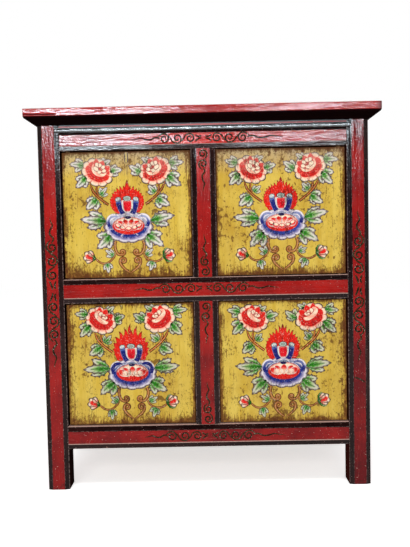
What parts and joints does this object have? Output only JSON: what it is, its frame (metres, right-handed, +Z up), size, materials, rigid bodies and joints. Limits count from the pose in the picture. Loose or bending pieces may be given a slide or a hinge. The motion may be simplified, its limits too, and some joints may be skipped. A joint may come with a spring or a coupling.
{
  "type": "lacquered cabinet",
  "caption": "Painted Himalayan cabinet with pivoting doors, a red and black frame, an overhanging top board and square legs.",
  "frame": {"origin": "centre of the floor rectangle under the whole cabinet, on the floor", "axes": "+Z up, the doors face -Y, +X to the right of someone facing the doors"},
  "size_m": [0.803, 0.419, 0.884],
  "materials": {
    "red_lacquer": "worn red lacquer over wood, glossy",
    "black_lacquer": "black lacquer over wood, glossy",
    "ochre_paint": "ochre paint over wood with painted flowers, varnished",
    "stained_wood": "dark stained wood, matt",
    "bare_wood": "bare sawn wood, matt"
  },
  "bodies": {
    "cabinet": {"back_bottom_rail": "stained_wood", "back_plank_1": "bare_wood", "back_plank_2": "bare_wood", "back_plank_3": "bare_wood", "back_top_rail": "stained_wood", "bead_moulding": "black_lacquer", "bottom_bearer": "bare_wood", "bottom_board_1": "bare_wood", "bottom_board_2": "bare_wood", "bottom_runner_left": "bare_wood", "bottom_runner_right": "bare_wood", "cornice_front": "black_lacquer", "cornice_left": "black_lacquer", "cornice_right": "black_lacquer", "front_bottom_rail": "red_lacquer", "front_leg_left": "red_lacquer", "front_leg_right": "red_lacquer", "front_mid_rail": "red_lacquer", "front_top_rail": "red_lacquer", "lower_centre_stile": "red_lacquer", "lower_door_stop": "stained_wood", "rear_leg_left": "stained_wood", "rear_leg_right": "stained_wood", "shelf_bearer": "bare_wood", "shelf_board_1": "bare_wood", "shelf_board_2": "bare_wood", "shelf_runner_left": "bare_wood", "shelf_runner_right": "bare_wood", "side_bottom_rail_left": "red_lacquer", "side_bottom_rail_right": "red_lacquer", "side_plank_left_1": "red_lacquer", "side_plank_left_2": "red_lacquer", "side_plank_right_1": "red_lacquer", "side_plank_right_2": "red_lacquer", "side_top_rail_left": "red_lacquer", "side_top_rail_right": "red_lacquer", "top_board_front": "red_lacquer", "top_board_rear": "red_lacquer", "upper_centre_stile": "red_lacquer", "upper_door_stop": "stained_wood"},
    "lower_left_door": {"lower_left_door_bottom_pin": "bare_wood", "lower_left_door_high_batten": "stained_wood", "lower_left_door_low_batten": "stained_wood", "lower_left_door_panel": "ochre_paint", "lower_left_door_top_pin": "bare_wood"},
    "lower_right_door": {"lower_right_door_bottom_pin": "bare_wood", "lower_right_door_high_batten": "stained_wood", "lower_right_door_low_batten": "stained_wood", "lower_right_door_panel": "ochre_paint", "lower_right_door_top_pin": "bare_wood"},
    "upper_left_door": {"upper_left_door_bottom_pin": "bare_wood", "upper_left_door_high_batten": "stained_wood", "upper_left_door_low_batten": "stained_wood", "upper_left_door_panel": "ochre_paint", "upper_left_door_top_pin": "bare_wood"},
    "upper_right_door": {"upper_right_door_bottom_pin": "bare_wood", "upper_right_door_high_batten": "stained_wood", "upper_right_door_low_batten": "stained_wood", "upper_right_door_panel": "ochre_paint", "upper_right_door_top_pin": "bare_wood"}
  },
  "joints": [
    {"name": "lower_left_door_pivot", "type": "hinge", "parent": "cabinet", "child": "lower_left_door", "pos_m": [-0.314, -0.1535, 0.295], "axis": [0, 0, -1], "range_deg": [0, 105]},
    {"name": "lower_right_door_pivot", "type": "hinge", "parent": "cabinet", "child": "lower_right_door", "pos_m": [0.314, -0.1535, 0.295], "axis": [0, 0, 1], "range_deg": [0, 105]},
    {"name": "upper_left_door_pivot", "type": "hinge", "parent": "cabinet", "child": "upper_left_door", "pos_m": [-0.314, -0.1535, 0.6445], "axis": [0, 0, -1], "range_deg": [0, 105]},
    {"name": "upper_right_door_pivot", "type": "hinge", "parent": "cabinet", "child": "upper_right_door", "pos_m": [0.314, -0.1535, 0.6445], "axis": [0, 0, 1], "range_deg": [0, 105]}
  ]
}
